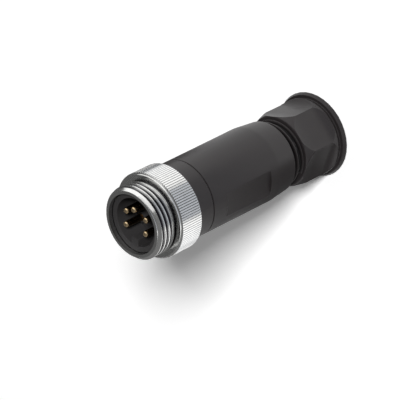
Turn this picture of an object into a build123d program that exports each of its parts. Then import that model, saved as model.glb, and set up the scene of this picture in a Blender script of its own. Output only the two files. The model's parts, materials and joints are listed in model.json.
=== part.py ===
from build123d import *
import math
import os

# Field-attachable plug connector with five screw terminals and a 7/8-16 UN coupling ring.
# Millimetres. The plug stands on the rear face of its clamping screw, the axis is Z,
# and the contacts point up. Angles are measured about Z from +X.

# Driving dimensions of the coupling ring
thread_radius = 11.11
thread_pitch = 1.5875
thread_depth = 0.97
thread_length = 6.1
ring_bore_radius = 9.19
ring_land_radius = 10.15
ring_length = 15.4
shoulder_setback = 6.7
shoulder_radius = 12.4
shoulder_chamfer = 0.55
knurl_setback = 8.05
knurl_radius = 13.14
knurl_depth = 0.2
knurl_groove = 0.36
knurl_teeth = 112
knurl_chamfer = 0.35
crest_allowance = 0.01
lip_setback = 10.0
lip_thickness = 2.0
ring_thread_turn = 272.8

# Driving dimensions of the contact carrier and its collar
running_gap = 0.07
axial_play = 0.1
fit_gap = 0.03
shroud_recess = 1.5
cavity_radius = 7.45
cavity_depth = 7.7
neck_radius = 8.0
key_width = 2.6
key_height = 2.4
key_angle = -90.0
boss_radius = 1.65
boss_height = 1.5
snap_height = 0.25
snap_length = 1.2
snap_setback = 3.6
lock_width = 1.6
lock_height = 0.8
lock_length = 3.0
collar_radius = 11.83
collar_length = 6.25
collar_edge = 0.15
seam_gap = 0.25
spigot_radius = 10.35
spigot_length = 5.9

# Driving dimensions of the seal between collar and sleeve
o_ring_section = 1.3
o_ring_setback = 1.55
groove_width = 1.7
seal_gap = 0.05

# Driving dimensions of the contacts and terminals
pin_count = 5
pin_places = 6
pin_circle_radius = 4.47
pin_radius = 1.0
shank_radius = 1.2
pin_reach = 0.2
earth_lead = 1.0
pin_tip_taper = 0.2
pin_tip_length = 0.9
pin_tip_round = 0.6
barrel_radius = 1.95
barrel_length = 8.2
block_reach = 11.15
barrel_recess = 0.2
wire_hole_radius = 1.25
wire_hole_depth = 6.0
terminal_setback = 8.05
screw_radius = 1.15
screw_recess = 0.3
screw_thread_gap = 0.07
screw_access_gap = 0.35
screw_slot_width = 0.4
screw_slot_depth = 0.7
screw_edge = 0.15
nose_radius = 0.45
plate_length = 3.0
plate_width = 1.4
plate_thickness = 0.4
plate_height = 0.56

# Driving dimensions of the sleeve
sleeve_radius = 12.0
sleeve_rear_radius = 11.25
sleeve_taper_length = 7.8
sleeve_edge = 0.4
o_ring_seat_length = 2.5
sleeve_thread_length = 4.1
bore_radius = 9.5
wire_room = 2.7
throat_radius = 7.2
throat_length = 1.5
cone_length = 3.5
cone_front_radius = 7.6
seat_radius = 9.3
seat_length = 4.1
chamber_depth = 13.2
flat_radius = 11.25
flat_setback = 5.6
flat_length = 18.8

# Driving dimensions of the cable gland
cage_wall = 1.7
cage_ring_length = 2.3
cage_fingers = 10
cage_slot = 0.9
cage_gap = 0.15
cage_stand = 0.3
seal_length = 6.0
seal_bore_radius = 4.5
seal_edge = 0.6
washer_thickness = 1.0
washer_bore_radius = 6.4

# Driving dimensions of the clamping screw
screw_pitch = 2.2
screw_thread_radius = 10.35
screw_thread_depth = 1.0
screw_thread_run = 0.8
chamber_gap = 0.1
shank_bore_radius = 7.4
tightening_gap = 4.5
head_length = 16.4
head_front_radius = 10.85
head_rise_length = 3.9
head_radius = 11.95
head_flats = 21.0
flange_radius = 13.5
flange_rim = 1.5
flange_sweep = 2.7
flange_edge = 0.3
cable_hole_radius = 6.2
cable_mouth = 1.6
head_turn = 15.5
screw_thread_turn = 110.6

# Heights along the axis, from the rear face of the clamping screw upwards
sleeve_length = (block_reach - seam_gap + wire_room + throat_length
                 + cone_length + seat_length + chamber_depth)
z_sleeve_rear = head_length + tightening_gap
z_sleeve_front = z_sleeve_rear + sleeve_length
z_seam = z_sleeve_front + seam_gap
z_ring_rear = z_seam + collar_length
z_top = z_ring_rear + ring_length
z_lip_front = z_top - lip_setback
z_lip_rear = z_lip_front - lip_thickness
z_shroud = z_top - shroud_recess
z_floor = z_shroud - cavity_depth
z_boss = z_floor + boss_height
z_step = z_lip_front + axial_play
z_nose = z_lip_rear - axial_play
z_spigot = z_seam - spigot_length
z_block = z_seam - block_reach
z_terminal = z_seam - terminal_setback
z_barrel_rear = z_block + barrel_recess
z_barrel_front = z_barrel_rear + barrel_length
z_o_ring = z_seam - o_ring_setback
z_chamber = z_sleeve_rear + chamber_depth
z_seat = z_chamber + seat_length
z_cone = z_seat + cone_length
z_cage = z_chamber - cage_stand
z_washer = z_cage - tightening_gap
z_shank = z_washer - washer_thickness

# Radii that follow from the fits
shroud_radius = ring_bore_radius - running_gap
lip_radius = neck_radius + running_gap
skirt_radius = collar_radius + running_gap
collar_bore = neck_radius + fit_gap
spigot_bore = spigot_radius + chamber_gap
o_ring_radius = spigot_radius - o_ring_section / 8
o_ring_seat = o_ring_radius + o_ring_section / 2 + seal_gap
groove_floor = o_ring_radius - o_ring_section / 2 - seal_gap
chamber_radius = screw_thread_radius + chamber_gap
plate_top = pin_circle_radius + plate_height + plate_thickness
screw_end = neck_radius - screw_recess


def pin_angle(number):
    """Angle of a contact: the places are evenly spaced and the key fills the one left over."""
    return key_angle + number * 360.0 / pin_places


def turned(points, rounds=()):
    """Solid of revolution about Z from (radius, height) corners, some of them rounded."""
    profile = make_face(Polyline(*points, close=True))
    for index, radius in rounds:
        corner = profile.vertices().sort_by_distance(Vector(*points[index]))[0]
        profile = fillet(corner, radius)
    return revolve(Plane.XZ * profile, axis=Axis.Z)


def drum(radius, low, high):
    """Plain cylinder on the axis between two heights."""
    return Pos(0, 0, low) * Cylinder(radius, high - low, align=(Align.CENTER, Align.CENTER, Align.MIN))


def tube(outer, inner, low, high):
    """Plain ring on the axis between two heights."""
    return drum(outer, low, high) - drum(inner, low - 1, high + 1)


def at_contact(number, solid):
    """Moves a solid from the axis out to the place of one contact."""
    return Rot(0, 0, pin_angle(number)) * Pos(pin_circle_radius, 0, 0) * solid


def threaded(radius, depth, pitch, low, high, turn):
    """Rod with one right-hand helical ridge, longer than needed at both ends."""
    sink = 0.15 * depth
    core_radius = radius - depth
    run = high - low + 2 * pitch
    path = Helix(pitch, run, core_radius - sink)
    half_root = 0.43 * pitch
    half_crest = 0.09 * pitch
    section = Plane(origin=path @ 0, x_dir=(1, 0, 0), z_dir=path % 0) * make_face(Polyline(
        (0, -half_root),
        (depth + sink, -half_crest),
        (depth + sink, half_crest),
        (0, half_root),
        close=True,
    ))
    ridge = sweep(section, path=path, is_frenet=True)
    rod = drum(core_radius, -2 * pitch, run + 2 * pitch) + ridge
    return Pos(0, 0, low - pitch) * Rot(0, 0, turn) * rod


def knurled(radius, depth, groove, teeth, low, high, edge):
    """Straight knurl: a drum with V grooves between flat lands, and a chamfer at both ends."""
    step = 2 * math.pi / teeth
    half_land = (step - groove / radius) / 2
    corners = []
    for tooth in range(teeth):
        for place, reach in ((-half_land, radius), (half_land, radius), (step / 2, radius - depth)):
            angle = tooth * step + place
            corners.append((reach * math.cos(angle), reach * math.sin(angle)))
    blank = Pos(0, 0, low) * extrude(make_face(Polyline(*corners, close=True)), high - low)
    envelope = turned([
        (0, low), (radius - edge, low), (radius, low + edge),
        (radius, high - edge), (radius - edge, high), (0, high),
    ])
    return blank & envelope


def coupling_ring():
    """Nickel-plated ring: threaded front, shoulder, knurl, and the inner lip that holds it."""
    z_thread = z_top - thread_length
    z_shoulder = z_top - shoulder_setback
    z_knurl = z_top - knurl_setback
    core_radius = thread_radius - thread_depth
    crest = thread_radius + crest_allowance
    envelope = turned([
        (0, z_thread), (crest, z_thread), (crest, z_top - crest + ring_land_radius),
        (ring_land_radius, z_top), (0, z_top),
    ])
    thread = threaded(
        thread_radius, thread_depth, thread_pitch, z_thread, z_top, ring_thread_turn,
    ) & envelope
    waist = drum(core_radius, z_shoulder, z_thread)
    shoulder = turned([
        (0, z_knurl), (knurl_radius - knurl_chamfer, z_knurl),
        (shoulder_radius + shoulder_chamfer, z_shoulder - shoulder_chamfer),
        (shoulder_radius, z_shoulder), (0, z_shoulder),
    ])
    grip = knurled(
        knurl_radius, knurl_depth, knurl_groove, knurl_teeth, z_ring_rear, z_knurl, knurl_chamfer)
    blank = thread + waist + shoulder + grip
    bore = drum(ring_bore_radius, z_lip_front, z_top + 1)
    lip_hole = drum(lip_radius, z_lip_rear - 1, z_lip_front + 1)
    skirt = drum(skirt_radius, z_ring_rear - 1, z_lip_rear)
    return blank - bore - lip_hole - skirt


def carrier_body():
    """Outline of the moulded carrier: shroud with its cavity, neck, snap ridge and block."""
    z_snap = z_nose - snap_setback
    body = turned([
        (0, z_block), (neck_radius, z_block), (neck_radius, z_step),
        (shroud_radius, z_step), (shroud_radius, z_shroud),
        (cavity_radius, z_shroud), (cavity_radius, z_floor), (0, z_floor),
    ], rounds=[(1, 0.4), (4, 0.25), (5, 0.15)])
    ridge = turned([
        (neck_radius - 0.5, z_snap - snap_length), (neck_radius, z_snap - snap_length),
        (neck_radius + snap_height, z_snap), (neck_radius - 0.5, z_snap),
    ])
    return body + ridge


def contact_carrier():
    """Insulating carrier with the shroud, key, contact bosses and the terminal block."""
    body = carrier_body()
    key_middle = (cavity_radius - key_height + shroud_radius) / 2
    key_span = shroud_radius - cavity_radius + key_height - 2 * running_gap
    key = Box(key_span, key_width, cavity_depth + 0.4, align=(Align.CENTER, Align.CENTER, Align.MAX))
    key = fillet(key.edges().filter_by(Axis.Z).group_by(Axis.X)[0], 0.2)
    body += Rot(0, 0, key_angle) * Pos(key_middle, 0, z_shroud) * key
    lock = Box(2 * lock_height, lock_width, lock_length, align=(Align.CENTER, Align.CENTER, Align.MAX))
    body += Rot(0, 0, -key_angle) * Pos(neck_radius, 0, z_nose) * lock
    bosses = []
    holes = []
    for number in range(1, pin_count + 1):
        boss = drum(boss_radius, z_floor - 0.4, z_boss)
        bosses.append(at_contact(number, boss))
        holes.append(at_contact(number, drum(shank_radius + fit_gap, z_block - 1, z_top)))
        holes.append(at_contact(number, drum(barrel_radius + fit_gap, z_block - 1, z_barrel_front)))
        access = Pos(0, 0, z_terminal) * Rot(0, 90, 0) * drum(
            screw_radius + screw_access_gap, pin_circle_radius, neck_radius + 2)
        holes.append(Rot(0, 0, pin_angle(number)) * access)
    return body + bosses - holes


def carrier_collar():
    """Collar behind the ring: it traps the ring's lip and carries the sleeve's thread."""
    z_snap = z_nose - snap_setback
    groove = groove_width / 2
    body = turned([
        (collar_bore, z_spigot), (spigot_radius, z_spigot),
        (spigot_radius, z_o_ring - groove), (groove_floor, z_o_ring - groove),
        (groove_floor, z_o_ring + groove), (spigot_radius, z_o_ring + groove),
        (spigot_radius, z_seam), (collar_radius - collar_edge, z_seam),
        (collar_radius, z_seam + collar_edge), (collar_radius, z_nose),
        (collar_bore, z_nose),
    ], rounds=[(1, 0.4), (9, 0.3)])
    catch = turned([
        (0, z_snap - snap_length - fit_gap), (collar_bore, z_snap - snap_length - fit_gap),
        (collar_bore + snap_height, z_snap), (collar_bore + snap_height, z_snap + fit_gap),
        (0, z_snap + fit_gap),
    ])
    slot = Box(
        2 * lock_height + 2 * fit_gap, lock_width + 2 * fit_gap, 2 * lock_length + 2 * fit_gap,
    )
    return body - catch - Rot(0, 0, -key_angle) * Pos(neck_radius, 0, z_nose) * slot


def o_ring():
    """Rubber ring between the collar's groove and the sleeve."""
    return Pos(0, 0, z_o_ring) * Torus(o_ring_radius, o_ring_section / 2)


def contact_pin(number):
    """Gold-plated contact: domed pin, shank in the carrier, and a barrel with the wire's hole."""
    lead = earth_lead if 2 * number == pin_places else 0.0
    z_tip = z_shroud + pin_reach + lead
    tip_radius = pin_radius - pin_tip_taper
    body = turned([
        (0, z_barrel_rear), (barrel_radius, z_barrel_rear), (barrel_radius, z_barrel_front),
        (shank_radius, z_barrel_front), (shank_radius, z_boss), (pin_radius, z_boss),
        (pin_radius, z_tip - pin_tip_length), (tip_radius, z_tip), (0, z_tip),
    ], rounds=[(7, pin_tip_round)])
    hole = turned([
        (0, z_barrel_rear - 1), (wire_hole_radius + 0.2, z_barrel_rear - 1),
        (wire_hole_radius + 0.2, z_barrel_rear), (wire_hole_radius, z_barrel_rear + 0.2),
        (wire_hole_radius, z_barrel_rear + wire_hole_depth), (0, z_barrel_rear + wire_hole_depth),
    ])
    thread = Pos(0, 0, z_terminal) * Rot(0, 90, 0) * drum(screw_radius + screw_thread_gap, 0, 2 * barrel_radius)
    return at_contact(number, body - hole - thread)


def wire_clamp(number):
    """Pressure plate that the terminal screw pushes onto the wire."""
    plate = Box(plate_thickness, plate_width, plate_length)
    plate = fillet(plate.edges().filter_by(Axis.Y).group_by(Axis.X)[0], 0.15)
    plate -= Rot(0, 90, 0) * Cylinder(nose_radius + fit_gap, 2 * plate_thickness)
    radius = plate_top - plate_thickness / 2
    return Rot(0, 0, pin_angle(number)) * Pos(radius, 0, z_terminal) * plate


def terminal_screw(number):
    """Slotted headless screw, with a nose that stays in the pressure plate."""
    start = plate_top + fit_gap
    screw = turned([
        (0, plate_top - plate_thickness), (nose_radius, plate_top - plate_thickness),
        (nose_radius, start), (screw_radius - screw_edge, start),
        (screw_radius, start + screw_edge), (screw_radius, screw_end - screw_edge),
        (screw_radius - screw_edge, screw_end), (0, screw_end),
    ])
    screw -= Pos(0, 0, screw_end) * Box(3 * screw_radius, screw_slot_width, 2 * screw_slot_depth)
    return Rot(0, 0, pin_angle(number)) * Pos(0, 0, z_terminal) * Rot(0, 90, 0) * screw


def sleeve():
    """Grip sleeve: collar seat in front, wire room, throat, gland seat and screw chamber."""
    z_taper = z_sleeve_rear + sleeve_taper_length
    outside = turned([
        (0, z_sleeve_rear), (sleeve_rear_radius, z_sleeve_rear), (sleeve_radius, z_taper),
        (collar_radius, z_sleeve_front - collar_edge),
        (collar_radius - collar_edge, z_sleeve_front), (0, z_sleeve_front),
    ], rounds=[(1, sleeve_edge), (2, 12.0)])
    z_thread = z_sleeve_front - o_ring_seat_length
    z_room = z_thread - sleeve_thread_length
    inside = turned([
        (0, z_sleeve_rear - 1), (chamber_radius, z_sleeve_rear - 1), (chamber_radius, z_chamber),
        (seat_radius, z_chamber), (seat_radius, z_seat), (cone_front_radius, z_cone),
        (throat_radius, z_cone), (throat_radius, z_cone + throat_length),
        (bore_radius, z_cone + throat_length), (bore_radius, z_room),
        (spigot_bore, z_room), (spigot_bore, z_thread), (o_ring_seat, z_thread),
        (o_ring_seat, z_sleeve_front + 1), (0, z_sleeve_front + 1),
    ])
    z_flat = z_sleeve_front - flat_setback - flat_length / 2
    waste = Box(2 * sleeve_radius, 2 * sleeve_radius, flat_length, align=(Align.MIN, Align.CENTER, Align.CENTER))
    flats = [Rot(0, 0, side) * Pos(flat_radius, 0, z_flat) * waste for side in (0, 180)]
    return outside - flats - inside


def gland_seal():
    """Rubber bush that grips the cable."""
    radius = seat_radius - cage_gap - cage_wall - cage_gap
    low = z_chamber + cage_gap
    high = low + seal_length
    return turned([
        (seal_bore_radius, low), (radius, low), (radius, high), (seal_bore_radius, high),
    ], rounds=[(1, seal_edge), (2, seal_edge), (0, seal_edge / 2), (3, seal_edge / 2)])


def clamp_cage():
    """Clamping cage: a ring with fingers that close on the seal in the sleeve's cone."""
    outer = seat_radius - cage_gap
    inner = outer - cage_wall
    slope = (seat_radius - cone_front_radius) / cone_length
    z_low = z_cage
    z_bend = z_seat - cage_gap
    z_high = z_cone - 2 * cage_gap
    tip = outer - slope * (z_high - z_bend)
    blank = turned([
        (inner, z_low), (outer, z_low), (outer, z_bend), (tip, z_high), (inner, z_high),
    ])
    height = z_cone - z_low
    slot = Box(2 * outer, cage_slot, height, align=(Align.MIN, Align.CENTER, Align.MIN))
    cuts = []
    for finger in range(cage_fingers):
        cuts.append(Rot(0, 0, finger * 360.0 / cage_fingers) * Pos(0, 0, z_low + cage_ring_length) * slot)
    return blank - cuts


def thrust_washer():
    """Flat washer between the clamping screw and the cage."""
    outer = screw_thread_radius - 3 * chamber_gap
    return tube(outer, washer_bore_radius, z_shank, z_washer)


def head_blank():
    """Hexagon head: flats cut in a turned form, swept out into the round flange."""
    z_front = head_length
    z_hex = z_front - head_rise_length
    z_sweep = flange_rim + flange_sweep
    sweep_radius = flange_radius - flange_edge
    turned_form = turned([
        (0, flange_rim), (head_radius, flange_rim), (head_radius, z_hex),
        (head_front_radius, z_front), (0, z_front),
    ], rounds=[(3, 0.4), (2, 6.0)])
    flats = RegularPolygon(head_flats / 2, 6, major_radius=False)
    hexagon = Rot(0, 0, head_turn) * extrude(flats, z_front)
    foot = turned([
        (0, 0), (flange_radius, 0), (flange_radius, flange_rim), (0, flange_rim),
    ], rounds=[(1, flange_edge), (2, flange_edge)])
    root = sweep_radius - flange_sweep
    corner = flange_sweep * (1 - math.sqrt(0.5))
    curve = ThreePointArc(
        (sweep_radius, flange_rim), (root + corner, flange_rim + corner), (root, z_sweep))
    lines = Polyline((root, z_sweep), (0, z_sweep), (0, flange_rim), (sweep_radius, flange_rim))
    fillet_form = revolve(Plane.XZ * make_face([curve, lines]), axis=Axis.Z)
    return (turned_form & hexagon) + foot + fillet_form


def clamp_screw():
    """Clamping screw: hollow threaded shank, hexagon head and rear flange with the cable mouth."""
    z_end = z_shank
    core_radius = screw_thread_radius - screw_thread_depth
    crest = screw_thread_radius + crest_allowance
    z_run = head_length + screw_thread_run
    envelope = turned([
        (0, z_run), (crest, z_run),
        (crest, z_end - screw_thread_depth), (core_radius, z_end), (0, z_end),
    ])
    shank = threaded(
        screw_thread_radius, screw_thread_depth, screw_pitch, z_run, z_end, screw_thread_turn,
    ) & envelope
    body = head_blank() + drum(core_radius, head_length - 1, z_run) + shank
    hollow = turned([
        (0, -1), (cable_hole_radius + cable_mouth, -1), (cable_hole_radius + cable_mouth, 0),
        (cable_hole_radius, cable_mouth), (cable_hole_radius, head_length),
        (shank_bore_radius, head_length + shank_bore_radius - cable_hole_radius),
        (shank_bore_radius, z_end + 1), (0, z_end + 1),
    ], rounds=[(3, 3.0)])
    return body - hollow


def build():
    """Every piece of the plug by its node's name."""
    pieces = {
        "coupling_ring": coupling_ring(),
        "contact_carrier": contact_carrier(),
        "carrier_collar": carrier_collar(),
        "o_ring": o_ring(),
        "sleeve": sleeve(),
        "gland_seal": gland_seal(),
        "clamp_cage": clamp_cage(),
        "thrust_washer": thrust_washer(),
        "clamp_screw": clamp_screw(),
    }
    for number in range(1, pin_count + 1):
        pieces[f"contact_pin_{number}"] = contact_pin(number)
        pieces[f"wire_clamp_{number}"] = wire_clamp(number)
        pieces[f"terminal_screw_{number}"] = terminal_screw(number)
    return pieces


os.makedirs("parts", exist_ok=True)
for name, piece in build().items():
    export_step(piece, f"parts/{name}.step")
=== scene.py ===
import json
import math

import bmesh
import bpy
from mathutils import Matrix, Vector

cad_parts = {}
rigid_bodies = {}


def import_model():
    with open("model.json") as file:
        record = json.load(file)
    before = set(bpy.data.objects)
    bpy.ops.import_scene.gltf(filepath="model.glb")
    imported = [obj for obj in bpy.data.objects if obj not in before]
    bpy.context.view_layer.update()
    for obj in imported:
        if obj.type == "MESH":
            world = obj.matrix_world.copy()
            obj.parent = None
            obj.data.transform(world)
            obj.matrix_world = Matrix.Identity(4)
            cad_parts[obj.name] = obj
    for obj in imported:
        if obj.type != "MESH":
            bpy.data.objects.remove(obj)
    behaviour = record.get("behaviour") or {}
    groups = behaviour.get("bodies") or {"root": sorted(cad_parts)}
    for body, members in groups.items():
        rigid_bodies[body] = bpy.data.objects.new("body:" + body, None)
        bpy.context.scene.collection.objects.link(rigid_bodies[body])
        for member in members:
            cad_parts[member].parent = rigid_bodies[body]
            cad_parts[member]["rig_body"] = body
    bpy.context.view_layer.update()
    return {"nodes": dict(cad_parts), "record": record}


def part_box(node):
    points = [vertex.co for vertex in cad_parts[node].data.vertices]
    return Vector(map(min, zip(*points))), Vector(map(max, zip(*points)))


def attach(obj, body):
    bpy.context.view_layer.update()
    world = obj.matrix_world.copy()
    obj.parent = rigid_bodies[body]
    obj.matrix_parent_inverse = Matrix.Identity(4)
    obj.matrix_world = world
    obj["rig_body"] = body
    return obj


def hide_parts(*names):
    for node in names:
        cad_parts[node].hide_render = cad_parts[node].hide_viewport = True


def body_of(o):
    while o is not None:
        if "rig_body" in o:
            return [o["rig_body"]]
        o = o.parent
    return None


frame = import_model()
slots = {row["node"]: row["material_slot"] for row in frame["record"]["subparts"]}
shapes = {}

MM = 0.001

# Camera: it looks at a point inside the plug, from the side and above, and is rolled
# so that the standing plug lies across the picture
AIM = Vector((1.6, -1.9, 52.0)) * MM
CAMERA_DISTANCE = 693.2 * MM
CAMERA_AZIMUTH = math.radians(39.94)
CAMERA_ELEVATION = math.radians(40.08)
CAMERA_ROLL = math.radians(-116.7)
CAMERA_LENS = 214.9
SENSOR = 36.0

# Colours are linear red, green and blue
WHITE = (1.0, 1.0, 1.0)
NICKEL = (0.72, 0.72, 0.71)
# Painted shade: nickel turns this dark in the grooves of the knurl and of the coupling thread
NICKEL_PAINTED_GROOVE_SHADE = (0.13, 0.13, 0.135)
GOLD = (0.86, 0.66, 0.40)
# Painted shade: the gold of the contacts turns this dark down their shafts inside the shroud
GOLD_PAINTED_SHAFT_SHADE = (0.34, 0.23, 0.12)
ZINC = (0.60, 0.60, 0.58)
CARRIER = (0.036, 0.0345, 0.035)
BODY = (0.0190, 0.0163, 0.0168)
CAGE = (0.09, 0.09, 0.095)
RUBBER = (0.012, 0.012, 0.012)
FLOOR = (0.98, 0.98, 0.98)

# The floor as it is looked at: white under the same lamps, with its shadow kept
FLOOR_SEEN = (1.34, 1.34, 1.34)
FLOOR_HALF = 3.0

# The surround is white to look at, and this strong as a light
SURROUND_LIGHT = 0.15

# Way to the key light, which throws the shadow along the plug's lower side in the picture
KEY_DIRECTION = (0.492, 0.587, 0.643)
FILL_DIRECTION = (-0.9, 0.5, 0.5)
LAMP_AIM = Vector((0.0, 0.0, 40.0)) * MM

# Studio cards stand this far from the plug's axis, reach this high, and bend in steps
# of so many degrees
CARD_RADIUS = 60 * MM
CARD_TOP = 240 * MM
CARD_STEP = 3.0
FLOOR_CARD_HEIGHT = 0.5 * MM

# Fineness of the modelled pieces: arcs, flats, spaces between flats, ridge, rings in
# millimetres, and weld distances
ARC_STEPS = 6
HALF_FLAT_STEPS = 6
CORNER_STEPS = 6
RIDGE_STEPS = 72
OUTSIDE_SPACING = 0.25
INSIDE_SPACING = 2.0
WELD = 0.0005 * MM
SLIVER = 0.0002 * MM

# Clamping screw: hexagon head that runs out into a cove and a round flange, in millimetres
HEAD_LENGTH = 16.1
HEAD_FRONT_RADIUS = 11.25
HEAD_RADIUS = 12.3
HEAD_ROOT_RADIUS = 12.35
HEAD_RISE = 3.6
HEAD_ACROSS_FLATS = 21.2
HEAD_SIDES = 6
HEAD_TURN = 45.5
FLAT_SWEEP_LENGTH = 3.3
FLAT_SWEEP_RADIUS = 4.0
FLAT_FADE_START = 11.5
FLAT_FADE_RISE = 0.50
FLANGE_RADIUS = 13.5
FLANGE_FRONT_RADIUS = 13.0
FLANGE_THICKNESS = 1.3
FLANGE_RIM = 0.25
FLANGE_EDGE = 0.12
COVE_RADIUS = 11.9
COVE_HEIGHT = 0.6
COVE_FOOT_ROUND = 0.25
COVE_TOP_ROUND = 0.2
ROOT_HEIGHT = 1.35
HEAD_SHOULDER_ROUND = 5.0
HEAD_FRONT_ROUND = 0.5
SCREW_CORE_RADIUS = 9.35
SCREW_CORE_CHAMFER = 0.1
SCREW_BORE_RADIUS = 7.4
SCREW_BORE_START = 17.6
CABLE_HOLE_RADIUS = 6.2
CABLE_HOLE_END = 16.4
CABLE_MOUTH = 1.6

# Coupling ring: its knurl's rows of (height in the model, height as shown) run up to the shoulder
KNURL_TEETH = 112
KNURL_RADIUS = 13.14
KNURL_FLOOR_RADIUS = 12.3
KNURL_FRONT = 70.66
MODEL_GROOVE = 0.36
KNURL_GROOVE = 0.25
KNURL_HEIGHTS = ((60.0, 60.0), (70.30, 71.27), (70.65, 71.50), (71.45, 71.94), (72.00, 72.00))
SHOULDER_ZONE = (70.0, 72.01)
SHOULDER_INNER_RADIUS = 11.6
BEVEL_START = 70.6
BEVEL_INNER_RADIUS = 12.0
BEVEL_END = 71.9
BEVEL_RADIUS = 12.66
SHOULDER_RADIUS = 12.60

# Thread of the clamping screw
SCREW_THREAD_RADIUS = 10.35
SCREW_PITCH = 2.2
RIDGE_ROOT_WIDTH = 0.98
RIDGE_SIDE_WIDTH = 0.40
RIDGE_CREST_WIDTH = 0.26
RIDGE_CREST_ROUND = 0.06
RIDGE_SINK = 0.2
SCREW_THREAD_START = 16.2
SCREW_THREAD_SETBACK = 0.4
SCREW_THREAD_TURN = 339.7

# Bands whose grooves get painted shade: low, high, and the radii of the floor, of where the painted
# shade fades and of the crest
KNURL_BAND = (61.0, 71.35, 12.85, 12.95, 13.09)
COUPLING_THREAD_BAND = (72.15, 77.75, 10.05, 10.55, 11.09)
SCREW_THREAD_BAND = (16.2, 31.0, 9.28, 9.50, 10.30)


def rounded(corners):
    """Points along a line of (radius, height, rounding) corners, with an arc at each rounding."""
    points = []
    for index, (radius, height, rounding) in enumerate(corners):
        here = Vector((radius, height))
        if not rounding:
            points.append(here)
            continue
        before = Vector(corners[index - 1][:2]) - here
        after = Vector(corners[index + 1][:2]) - here
        half = before.angle(after) / 2
        reach = rounding / math.tan(half)
        first = here + before.normalized() * reach
        last = here + after.normalized() * reach
        inward = (before.normalized() + after.normalized()).normalized()
        centre = here + inward * rounding / math.sin(half)
        for step in range(ARC_STEPS + 1):
            way = first.lerp(last, step / ARC_STEPS) - centre
            points.append(centre + way.normalized() * rounding)
    return points


def dense(points, spacing):
    """The same line with no step longer than the spacing."""
    line = [points[0]]
    for start, end in zip(points, points[1:]):
        steps = max(1, math.ceil((end - start).length / spacing))
        line += [start.lerp(end, step / steps) for step in range(1, steps + 1)]
    return line


def flat_distance(height):
    """How far a wrench flat lies from the axis at a height, or None below the flats."""
    near = HEAD_ACROSS_FLATS / 2
    root = FLANGE_THICKNESS + ROOT_HEIGHT
    below = root + FLAT_SWEEP_LENGTH - height
    if height < root:
        return None
    if below > 0:
        return near + FLAT_SWEEP_RADIUS - math.sqrt(FLAT_SWEEP_RADIUS ** 2 - below ** 2)
    fading = max(0.0, height - FLAT_FADE_START) / (HEAD_LENGTH - FLAT_FADE_START)
    return near + FLAT_FADE_RISE * fading ** 2


def head_ring(radius, height):
    """One ring of points round the head: its columns follow the edges of the flats."""
    flat = flat_distance(height)
    limit = math.pi / HEAD_SIDES
    edge = 0.0
    if flat is not None and flat < radius:
        edge = min(limit, math.acos(flat / radius))
    columns = range(-HALF_FLAT_STEPS, HALF_FLAT_STEPS + 1)
    across = [edge * (step / HALF_FLAT_STEPS) for step in columns]
    beyond = [edge + (2 * limit - 2 * edge) * step / CORNER_STEPS for step in range(1, CORNER_STEPS)]
    ring = []
    for side in range(HEAD_SIDES):
        middle = math.radians(HEAD_TURN) + side * 2 * limit
        for turn in across:
            reach = radius if edge == 0.0 else min(radius, flat / math.cos(turn))
            ring.append((reach, middle + turn, height))
        for turn in beyond:
            reach = radius if edge < limit else flat / math.cos(limit)
            ring.append((reach, middle + turn, height))
    return ring


def plain_ring(radius, height):
    """One round ring with as many columns as a ring of the head."""
    columns = HEAD_SIDES * (2 * HALF_FLAT_STEPS + CORNER_STEPS)
    start = math.radians(HEAD_TURN) - math.pi / HEAD_SIDES
    return [(radius, start + 2 * math.pi * column / columns, height) for column in range(columns)]


def add_rings(bm, rings):
    """Closed skin over rings of points, the last joined to the first."""
    rows = []
    for ring in rings:
        row = []
        for radius, angle, height in ring:
            row.append(bm.verts.new((
                radius * MM * math.cos(angle), radius * MM * math.sin(angle), height * MM)))
        rows.append(row)
    for index, row in enumerate(rows):
        following = rows[(index + 1) % len(rows)]
        for column in range(len(row)):
            beside = (column + 1) % len(row)
            bm.faces.new((row[column], row[beside], following[beside], following[column]))


def add_ridge(bm, low, high):
    """Thread of the clamping screw: one right-hand ridge, cut off square at both ends."""
    upper = (
        (SCREW_THREAD_RADIUS, RIDGE_CREST_WIDTH / 2),
        (SCREW_THREAD_RADIUS - RIDGE_CREST_ROUND, RIDGE_SIDE_WIDTH / 2),
        (SCREW_CORE_RADIUS - RIDGE_SINK, RIDGE_ROOT_WIDTH / 2),
    )
    section = [(radius, -rise) for radius, rise in reversed(upper)] + list(upper)
    turns = (high - low) / SCREW_PITCH
    rows = []
    for step in range(math.ceil(turns * RIDGE_STEPS) + 1):
        turn = step / RIDGE_STEPS
        angle = math.radians(SCREW_THREAD_TURN) + 2 * math.pi * turn
        middle = low + SCREW_PITCH * turn
        row = []
        for radius, rise in section:
            height = min(high, max(low, middle + rise))
            row.append(bm.verts.new((
                radius * MM * math.cos(angle), radius * MM * math.sin(angle), height * MM)))
        rows.append(row)
    for row, following in zip(rows, rows[1:]):
        for corner in range(len(section)):
            beside = (corner + 1) % len(section)
            bm.faces.new((row[corner], following[corner], following[beside], row[beside]))
    bm.faces.new(rows[0])
    bm.faces.new(list(reversed(rows[-1])))


def finish_mesh(bm, name, sharp):
    """Turns the mesh under work into an object, smooth but for edges sharper than the angle."""
    bmesh.ops.remove_doubles(bm, verts=bm.verts, dist=WELD)
    bmesh.ops.dissolve_degenerate(bm, edges=bm.edges, dist=SLIVER)
    bmesh.ops.recalc_face_normals(bm, faces=bm.faces)
    for face in bm.faces:
        face.smooth = True
    for edge in bm.edges:
        if len(edge.link_faces) == 2 and edge.calc_face_angle(0.0) > math.radians(sharp):
            edge.smooth = False
    mesh = bpy.data.meshes.new(name)
    bm.to_mesh(mesh)
    bm.free()
    piece = bpy.data.objects.new(name, mesh)
    bpy.context.collection.objects.link(piece)
    return piece


def stand_in(piece, node):
    """The piece takes the place, the body and the finish of a node."""
    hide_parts(node)
    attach(piece, body_of(frame["nodes"][node])[0])
    shapes[node] = piece


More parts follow.
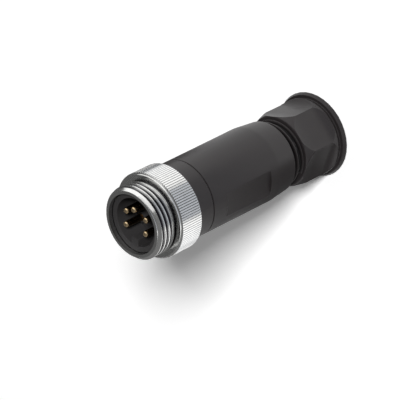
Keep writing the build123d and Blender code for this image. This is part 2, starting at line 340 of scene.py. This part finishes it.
def clamp_screw():
    """Clamping screw with the head, cove, flange and thread that the photograph shows."""
    z_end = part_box("clamp_screw")[1][2] / MM
    z_root = FLANGE_THICKNESS + ROOT_HEIGHT
    mouth = CABLE_HOLE_RADIUS + CABLE_MOUTH
    outside = rounded([
        (mouth, 0.0, 0.0),
        (FLANGE_RADIUS, 0.0, FLANGE_EDGE),
        (FLANGE_RADIUS, FLANGE_RIM, 0.0),
        (FLANGE_FRONT_RADIUS, FLANGE_THICKNESS, FLANGE_EDGE),
        (COVE_RADIUS, FLANGE_THICKNESS, COVE_FOOT_ROUND),
        (COVE_RADIUS, FLANGE_THICKNESS + COVE_HEIGHT, COVE_TOP_ROUND),
        (HEAD_ROOT_RADIUS, z_root, 0.0),
        (HEAD_RADIUS, HEAD_LENGTH - HEAD_RISE, HEAD_SHOULDER_ROUND),
        (HEAD_FRONT_RADIUS, HEAD_LENGTH, HEAD_FRONT_ROUND),
        (SCREW_CORE_RADIUS, HEAD_LENGTH, 0.0),
    ])
    inside = rounded([
        (SCREW_CORE_RADIUS, z_end - SCREW_CORE_CHAMFER, 0.0),
        (SCREW_CORE_RADIUS - SCREW_CORE_CHAMFER, z_end, 0.0),
        (SCREW_BORE_RADIUS, z_end, 0.0),
        (SCREW_BORE_RADIUS, SCREW_BORE_START, 0.0),
        (CABLE_HOLE_RADIUS, CABLE_HOLE_END, 0.0),
        (CABLE_HOLE_RADIUS, CABLE_MOUTH, 0.0),
        (mouth, 0.0, 0.0),
    ])
    rings = [head_ring(*point) for point in dense(outside, OUTSIDE_SPACING)]
    rings += [plain_ring(*point) for point in dense(inside, INSIDE_SPACING)[:-1]]
    bm = bmesh.new()
    add_rings(bm, rings)
    add_ridge(bm, SCREW_THREAD_START, z_end - SCREW_THREAD_SETBACK)
    stand_in(finish_mesh(bm, "clamp_screw_shape", sharp=22.0), "clamp_screw")


def mapped(value, table):
    """Value carried over a table of (old, new) steps, straight between them."""
    for (low, new_low), (high, new_high) in zip(table, table[1:]):
        if value <= high:
            return new_low + (new_high - new_low) * (value - low) / (high - low)
    return table[-1][1]


def coupling_ring():
    """Coupling ring whose knurl runs up to the shoulder, with narrow grooves between its teeth."""
    source = frame["nodes"]["coupling_ring"].data
    step = 2 * math.pi / KNURL_TEETH
    model_land = (step - MODEL_GROOVE / KNURL_RADIUS) / 2
    land = (step - KNURL_GROOVE / KNURL_RADIUS) / 2
    widths = ((0.0, 0.0), (model_land, land), (step / 2, step / 2))
    bm = bmesh.new()
    corners = []
    for vertex in source.vertices:
        x, y, z = vertex.co / MM
        radius = math.hypot(x, y)
        angle = math.atan2(y, x)
        if radius > KNURL_FLOOR_RADIUS and z < KNURL_FRONT:
            tooth = round(angle / step) * step
            off = angle - tooth
            angle = tooth + math.copysign(mapped(abs(off), widths), off)
        if radius > SHOULDER_INNER_RADIUS and SHOULDER_ZONE[0] < z < SHOULDER_ZONE[1]:
            if z > BEVEL_START and radius > BEVEL_INNER_RADIUS:
                radius = BEVEL_RADIUS if z < BEVEL_END else SHOULDER_RADIUS
            z = mapped(z, KNURL_HEIGHTS)
        corners.append(bm.verts.new((
            radius * MM * math.cos(angle), radius * MM * math.sin(angle), z * MM)))
    for polygon in source.polygons:
        if len(set(polygon.vertices)) > 2:
            bm.faces.new([corners[index] for index in polygon.vertices])
    stand_in(finish_mesh(bm, "coupling_ring_shape", sharp=24.0), "coupling_ring")


class Shader:
    """One node material, with short calls for the nodes that the finishes share."""

    def __init__(self, name):
        self.material = bpy.data.materials.new(name)
        self.material.use_nodes = True
        self.tree = self.material.node_tree
        self.surface = self.tree.nodes["Principled BSDF"]
        coordinates = self.tree.nodes.new("ShaderNodeTexCoord")
        self.place = coordinates.outputs["Object"]

    def set(self, **values):
        """Fixed values on the surface's own sockets."""
        for key, value in values.items():
            self.surface.inputs[key.replace("_", " ")].default_value = value

    def link(self, source, target):
        """Joins an output to a socket."""
        self.tree.links.new(source, target)

    def feed(self, socket, value):
        """A socket takes a number, or another node's output."""
        if isinstance(value, (int, float)):
            socket.default_value = value
        else:
            self.link(value, socket)

    def math(self, operation, first, second):
        """Sum, product or comparison of two numbers or outputs."""
        node = self.tree.nodes.new("ShaderNodeMath")
        node.operation = operation
        self.feed(node.inputs[0], first)
        self.feed(node.inputs[1], second)
        return node.outputs[0]

    def radius(self):
        """Distance from the plug's axis."""
        flat = self.tree.nodes.new("ShaderNodeVectorMath")
        flat.operation = "MULTIPLY"
        flat.inputs[1].default_value = (1.0, 1.0, 0.0)
        self.link(self.place, flat.inputs[0])
        length = self.tree.nodes.new("ShaderNodeVectorMath")
        length.operation = "LENGTH"
        self.link(flat.outputs[0], length.inputs[0])
        return length.outputs["Value"]

    def height(self):
        """Height over the plug's rear face."""
        split = self.tree.nodes.new("ShaderNodeSeparateXYZ")
        self.link(self.place, split.inputs[0])
        return split.outputs["Z"]

    def noise(self, size, detail=3.0, roughness=0.5, stretch=(1.0, 1.0, 1.0)):
        """Cloudy noise whose features are about size metres across."""
        scaled = self.tree.nodes.new("ShaderNodeVectorMath")
        scaled.operation = "MULTIPLY"
        scaled.inputs[1].default_value = stretch
        self.link(self.place, scaled.inputs[0])
        node = self.tree.nodes.new("ShaderNodeTexNoise")
        node.inputs["Scale"].default_value = 1.0 / size
        node.inputs["Detail"].default_value = detail
        node.inputs["Roughness"].default_value = roughness
        self.link(scaled.outputs[0], node.inputs["Vector"])
        return node.outputs["Fac"]

    def lines(self, along, spacing):
        """Noise along one measure only, such as the tool marks of a lathe."""
        node = self.tree.nodes.new("ShaderNodeTexNoise")
        node.noise_dimensions = "1D"
        node.inputs["Scale"].default_value = 1.0 / spacing
        node.inputs["Detail"].default_value = 4.0
        node.inputs["Roughness"].default_value = 0.6
        self.link(along, node.inputs["W"])
        return node.outputs["Fac"]

    def between(self, factor, low, high):
        """Maps a factor of 0 to 1 onto low to high."""
        node = self.tree.nodes.new("ShaderNodeMapRange")
        node.inputs["To Min"].default_value = low
        node.inputs["To Max"].default_value = high
        self.link(factor, node.inputs["Value"])
        return node.outputs["Result"]

    def fade(self, value, low, high):
        """0 below low, 1 above high, and smooth between them."""
        node = self.tree.nodes.new("ShaderNodeMapRange")
        node.interpolation_type = "SMOOTHSTEP"
        node.inputs["From Min"].default_value = low
        node.inputs["From Max"].default_value = high
        self.link(value, node.inputs["Value"])
        return node.outputs["Result"]

    def zone(self, value, low, high):
        """1 between two values, else 0."""
        above = self.math("GREATER_THAN", value, low)
        return self.math("MULTIPLY", above, self.math("LESS_THAN", value, high))

    def mixed(self, factor, first, second):
        """Colour that goes from the first to the second with the factor."""
        node = self.tree.nodes.new("ShaderNodeMixRGB")
        self.link(factor, node.inputs["Fac"])
        for socket, colour in ((node.inputs["Color1"], first), (node.inputs["Color2"], second)):
            if isinstance(colour, tuple):
                socket.default_value = (*colour, 1.0)
            else:
                self.link(colour, socket)
        return node.outputs["Color"]

    def tones(self, factor, stops):
        """Colour ramp with (position, colour) stops."""
        node = self.tree.nodes.new("ShaderNodeValToRGB")
        ramp = node.color_ramp
        while len(ramp.elements) < len(stops):
            ramp.elements.new(0.5)
        for element, (position, colour) in zip(ramp.elements, stops):
            element.position = position
            element.color = (*colour, 1.0)
        self.link(factor, node.inputs["Fac"])
        return node.outputs["Color"]

    def relief(self, layers, edge=0.0):
        """Bumps stacked on a slightly rounded normal: layers of (height, depth in metres, strength)."""
        normal = None
        if edge:
            bevel = self.tree.nodes.new("ShaderNodeBevel")
            bevel.samples = 6
            bevel.inputs["Radius"].default_value = edge
            normal = bevel.outputs["Normal"]
        for height, depth, strength in layers:
            bump = self.tree.nodes.new("ShaderNodeBump")
            bump.inputs["Distance"].default_value = depth
            bump.inputs["Strength"].default_value = strength
            self.link(height, bump.inputs["Height"])
            if normal is not None:
                self.link(normal, bump.inputs["Normal"])
            normal = bump.outputs["Normal"]
        self.link(normal, self.surface.inputs["Normal"])

    def colour(self, output):
        """Base colour of the surface."""
        self.link(output, self.surface.inputs["Base Color"])

    def rough(self, output):
        """Roughness of the surface."""
        self.link(output, self.surface.inputs["Roughness"])


def shade(colour, factor):
    """A colour made lighter or darker."""
    return tuple(min(1.0, channel * factor) for channel in colour)


def painted_groove_mask(shader, bands):
    """Mask for painted shade: 1 in the grooves of the bands, 0 on their crests and elsewhere."""
    radius = shader.radius()
    height = shader.height()
    total = 0.0
    for low, high, floor_radius, dark_radius, crest_radius in bands:
        band = shader.zone(height, low * MM, high * MM)
        outside = shader.math("GREATER_THAN", radius, floor_radius * MM)
        rise = shader.fade(radius, dark_radius * MM, crest_radius * MM)
        depth = shader.math("SUBTRACT", 1.0, rise)
        here = shader.math("MULTIPLY", shader.math("MULTIPLY", band, outside), depth)
        total = shader.math("ADD", here, total)
    return total


def turned_metal(name, colour, mark, rough_low, rough_high, edge, groove_shade_colour=None, bands=()):
    """Turned and plated metal: fine rings, faint clouds in the plating, and grooves darkened by painted
    shade.
    """
    shader = Shader(name)
    along = shader.math("ADD", shader.height(), shader.radius())
    rings = shader.lines(along, mark)
    clouds = shader.noise(1.8 * MM, detail=3.0)
    shader.set(Metallic=1.0)
    plate = shader.tones(clouds, [(0.3, shade(colour, 0.96)), (0.7, shade(colour, 1.03))])
    if groove_shade_colour:
        # Painted shade: the grooves of the bands turn to the dark groove colour
        plate = shader.mixed(painted_groove_mask(shader, bands), plate, groove_shade_colour)
    shader.colour(plate)
    ringed = shader.math("MULTIPLY", rings, 0.3)
    mixed = shader.math("ADD", ringed, shader.math("MULTIPLY", clouds, 0.7))
    shader.rough(shader.between(mixed, rough_low, rough_high))
    shader.relief([(rings, 0.0012 * MM, 0.20)], edge=edge)
    return shader.material


def pin_metal(name, tip, shaded_shaft, rough_low, rough_high, edge):
    """Gold plating: bright on the domed tips, with painted shade that darkens the contacts where they
    stand in the shroud.
    """
    shader = Shader(name)
    clouds = shader.noise(0.6 * MM, detail=3.0)
    shader.set(Metallic=1.0)
    # Painted shade: below the tips the gold fades to the shaded colour, and faint clouds mix in up to a
    # quarter more of it
    depth = shader.fade(shader.height(), 75.6 * MM, 77.6 * MM)
    shroud_shade_colour = shader.mixed(depth, shaded_shaft, tip)
    shader.colour(shader.mixed(shader.math("MULTIPLY", clouds, 0.25), shroud_shade_colour, shaded_shaft))
    shader.rough(shader.between(clouds, rough_low, rough_high))
    shader.relief([(clouds, 0.003 * MM, 0.2)], edge=edge)
    return shader.material


def moulded(name, colour, grain, depth, rough_low, rough_high, edge, bands=()):
    """Moulded plastic: an eroded grain, soft flow clouds, a little dust-like speckle, and painted shade
    in the grooves of any bands.
    """
    shader = Shader(name)
    shader.set(Specular_IOR_Level=0.35)
    fine = shader.noise(grain, detail=3.0, roughness=0.6)
    flow = shader.noise(7.0 * MM, detail=2.0, stretch=(1.0, 1.0, 0.35))
    pores = shader.noise(grain * 0.45, detail=1.0)
    skin = shader.tones(flow, [(0.25, shade(colour, 0.88)), (0.75, shade(colour, 1.12))])
    if bands:
        # Painted shade: the grooves of the bands darken to 0.15 of the plastic's colour
        skin = shader.mixed(painted_groove_mask(shader, bands), skin, shade(colour, 0.15))
    shader.colour(skin)
    grainy = shader.math("MULTIPLY", fine, 0.6)
    mixed = shader.math("ADD", grainy, shader.math("MULTIPLY", flow, 0.4))
    shader.rough(shader.between(mixed, rough_low, rough_high))
    shader.relief([(fine, depth, 0.5), (pores, depth * 0.5, 0.3)], edge=edge)
    return shader.material


def rubber(name, colour):
    """Seal rubber: dull, with a soft bloom."""
    shader = Shader(name)
    bloom = shader.noise(1.2 * MM, detail=5.0, roughness=0.65)
    skin = shader.noise(0.15 * MM, detail=2.0)
    shader.set(Sheen_Weight=0.15, Sheen_Roughness=0.5)
    shader.colour(shader.tones(bloom, [(0.3, colour), (0.75, shade(colour, 2.2))]))
    shader.rough(shader.between(bloom, 0.55, 0.75))
    shader.relief([(skin, 0.02 * MM, 0.4)], edge=0.15 * MM)
    return shader.material


def finishes():
    """The material of each slot of the record."""
    return {
        "nickel": turned_metal(
            "nickel", NICKEL, 0.30 * MM, 0.16, 0.21, edge=0.0, groove_shade_colour=NICKEL_PAINTED_GROOVE_SHADE,
            bands=(KNURL_BAND, COUPLING_THREAD_BAND)),
        "gold": pin_metal("gold", GOLD, GOLD_PAINTED_SHAFT_SHADE, 0.16, 0.26, edge=0.05 * MM),
        "steel": turned_metal("steel", ZINC, 0.05 * MM, 0.25, 0.42, edge=0.05 * MM),
        "carrier_plastic": moulded(
            "carrier", CARRIER, 0.16 * MM, 0.012 * MM, 0.42, 0.56, edge=0.12 * MM),
        # The body plastic gets painted shade in the grooves of the clamping screw's thread
        "body_plastic": moulded(
            "body", BODY, 0.13 * MM, 0.010 * MM, 0.34, 0.46, edge=0.18 * MM,
            bands=(SCREW_THREAD_BAND,)),
        "cage_plastic": moulded(
            "cage", CAGE, 0.18 * MM, 0.012 * MM, 0.40, 0.55, edge=0.10 * MM),
        "seal_rubber": rubber("rubber", RUBBER),
    }


def dress(materials):
    """Each node of the model, and each piece that stands in for one, gets the finish of its slot."""
    for node, piece in frame["nodes"].items():
        for dressed in (piece, shapes.get(node)):
            if dressed is not None:
                dressed.data.materials.clear()
                dressed.data.materials.append(materials[slots[node]])


def camera():
    """Camera at the photograph's viewing angle."""
    data = bpy.data.cameras.new("camera")
    data.lens = CAMERA_LENS
    data.sensor_width = SENSOR
    data.clip_start = 0.01
    data.clip_end = 20.0
    piece = bpy.data.objects.new("camera", data)
    bpy.context.collection.objects.link(piece)
    flat = math.cos(CAMERA_ELEVATION)
    back = Vector((
        flat * math.cos(CAMERA_AZIMUTH), flat * math.sin(CAMERA_AZIMUTH), math.sin(CAMERA_ELEVATION),
    ))
    turn = back.to_track_quat("Z", "Y").to_matrix().to_4x4()
    roll = Matrix.Rotation(CAMERA_ROLL, 4, "Z")
    piece.matrix_world = Matrix.Translation(AIM + back * CAMERA_DISTANCE) @ turn @ roll
    bpy.context.scene.camera = piece


def lamp(name, direction, distance, size, power):
    """Square soft box that faces the plug, and that shiny pieces don't show."""
    data = bpy.data.lights.new(name, "AREA")
    data.shape = "SQUARE"
    data.size = size
    data.energy = power
    piece = bpy.data.objects.new(name, data)
    bpy.context.collection.objects.link(piece)
    way = Vector(direction).normalized()
    piece.location = LAMP_AIM + way * distance
    piece.rotation_euler = way.to_track_quat("Z", "Y").to_euler()
    piece.visible_glossy = False


def seen_directly(tree):
    """1 for rays from the camera, and for those that metal and clear pieces send on, else 0."""
    path = tree.nodes.new("ShaderNodeLightPath")
    total = path.outputs["Is Camera Ray"]
    for kind in ("Is Glossy Ray", "Is Transmission Ray"):
        either = tree.nodes.new("ShaderNodeMath")
        either.operation = "MAXIMUM"
        tree.links.new(total, either.inputs[0])
        tree.links.new(path.outputs[kind], either.inputs[1])
        total = either.outputs[0]
    return total


def world():
    """Even studio surround: white to look at, softer as a light."""
    scene_world = bpy.data.worlds.new("studio")
    bpy.context.scene.world = scene_world
    scene_world.use_nodes = True
    tree = scene_world.node_tree
    tree.nodes.clear()
    output = tree.nodes.new("ShaderNodeOutputWorld")
    shown = tree.nodes.new("ShaderNodeBackground")
    shown.inputs["Color"].default_value = (*WHITE, 1.0)
    shown.inputs["Strength"].default_value = 1.0
    light = tree.nodes.new("ShaderNodeBackground")
    light.inputs["Color"].default_value = (*WHITE, 1.0)
    light.inputs["Strength"].default_value = SURROUND_LIGHT
    mix = tree.nodes.new("ShaderNodeMixShader")
    tree.links.new(seen_directly(tree), mix.inputs["Fac"])
    tree.links.new(light.outputs[0], mix.inputs[1])
    tree.links.new(shown.outputs[0], mix.inputs[2])
    tree.links.new(mix.outputs[0], output.inputs["Surface"])


def square(half, height):
    """Corners of a level square about the plug's axis."""
    corners = ((-half, -half), (half, -half), (half, half), (-half, half))
    return [(x, y, height) for x, y in corners]


def floor():
    """Plain white floor that keeps the plug's shadow, and stays under the screw that stands on it."""
    mesh = bpy.data.meshes.new("floor")
    mesh.from_pydata(square(FLOOR_HALF, 0.0), [], [(0, 1, 2, 3)])
    piece = bpy.data.objects.new("floor", mesh)
    bpy.context.collection.objects.link(piece)
    material = bpy.data.materials.new("floor")
    material.use_nodes = True
    tree = material.node_tree
    tree.nodes.clear()
    output = tree.nodes.new("ShaderNodeOutputMaterial")
    diffuse = tree.nodes.new("ShaderNodeBsdfDiffuse")
    tone = tree.nodes.new("ShaderNodeMixRGB")
    tone.inputs["Color1"].default_value = (*FLOOR, 1.0)
    tone.inputs["Color2"].default_value = (*FLOOR_SEEN, 1.0)
    tree.links.new(seen_directly(tree), tone.inputs["Fac"])
    tree.links.new(tone.outputs["Color"], diffuse.inputs["Color"])
    tree.links.new(diffuse.outputs[0], output.inputs["Surface"])
    mesh.materials.append(material)
    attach(piece, body_of(frame["nodes"]["clamp_screw"])[0])


def swept(start, end, edges):
    """Corners and faces of a strip between two (reach, height) edges, from azimuth to azimuth."""
    steps = max(1, round((end - start) / CARD_STEP))
    corners = []
    for step in range(steps + 1):
        azimuth = math.radians(start + (end - start) * step / steps)
        for reach, height in edges:
            corners.append((reach * math.cos(azimuth), reach * math.sin(azimuth), height))
    faces = [(2 * step, 2 * step + 2, 2 * step + 3, 2 * step + 1) for step in range(steps)]
    return corners, faces


def card(name, start, end, low, high, level, tint=WHITE):
    """Curved studio card round the plug, from one azimuth to another."""
    corners, faces = swept(start, end, ((CARD_RADIUS, low), (CARD_RADIUS, high)))
    show_card(name, corners, faces, level, tint)


def floor_card(name, start, end, near, far, level):
    """Flat sector just over the floor."""
    corners, faces = swept(start, end, ((near, FLOOR_CARD_HEIGHT), (far, FLOOR_CARD_HEIGHT)))
    show_card(name, corners, faces, level)


def top_card(name, height, level):
    """Flat card over the plug."""
    show_card(name, square(CARD_RADIUS, height), [(0, 1, 2, 3)], level)


def show_card(name, corners, faces, level, tint=WHITE):
    """Glowing surface that only reflections see."""
    mesh = bpy.data.meshes.new(name)
    mesh.from_pydata(corners, [], faces)
    piece = bpy.data.objects.new(name, mesh)
    bpy.context.collection.objects.link(piece)
    material = bpy.data.materials.new(name)
    material.use_nodes = True
    tree = material.node_tree
    tree.nodes.clear()
    output = tree.nodes.new("ShaderNodeOutputMaterial")
    glow = tree.nodes.new("ShaderNodeEmission")
    glow.inputs["Strength"].default_value = level
    glow.inputs["Color"].default_value = (*tint, 1.0)
    tree.links.new(glow.outputs[0], output.inputs["Surface"])
    mesh.materials.append(material)
    piece.visible_camera = False
    piece.visible_diffuse = False
    piece.visible_transmission = False
    piece.visible_shadow = False


def lights():
    """Large soft key above the plug's front, a weak fill, and cards that give metal its contrast."""
    lamp("key", KEY_DIRECTION, 4.0, 0.72, 156.0)
    lamp("left_fill", FILL_DIRECTION, 1.5, 0.60, 2.5)
    card("white_card_right", -80.0, -14.0, 18 * MM, 60 * MM, 1.5)
    card("low_right_card", -110.0, -8.0, 0.0, 17 * MM, 0.15)
    card("white_card_left", 80.0, 148.0, 18 * MM, 130 * MM, 1.35)
    card("black_card", 152.0, 245.0, 0.0, CARD_TOP, 0.12)
    card("grey_card", -8.0, 72.0, 0.0, 95 * MM, 0.60, tint=(0.94, 0.98, 1.06))
    card("low_dark_card", -115.0, -20.0, 62 * MM, CARD_TOP, 0.22)
    card("high_dark_card", -20.0, 45.0, 95 * MM, CARD_TOP, 0.22)
    floor_card("floor_card", -125.0, 5.0, 15 * MM, 56 * MM, 0.15)
    top_card("top_card", CARD_TOP, 0.16)


bpy.context.scene.view_settings.view_transform = "Standard"
camera()
world()
floor()
lights()
clamp_screw()
coupling_ring()
dress(finishes())
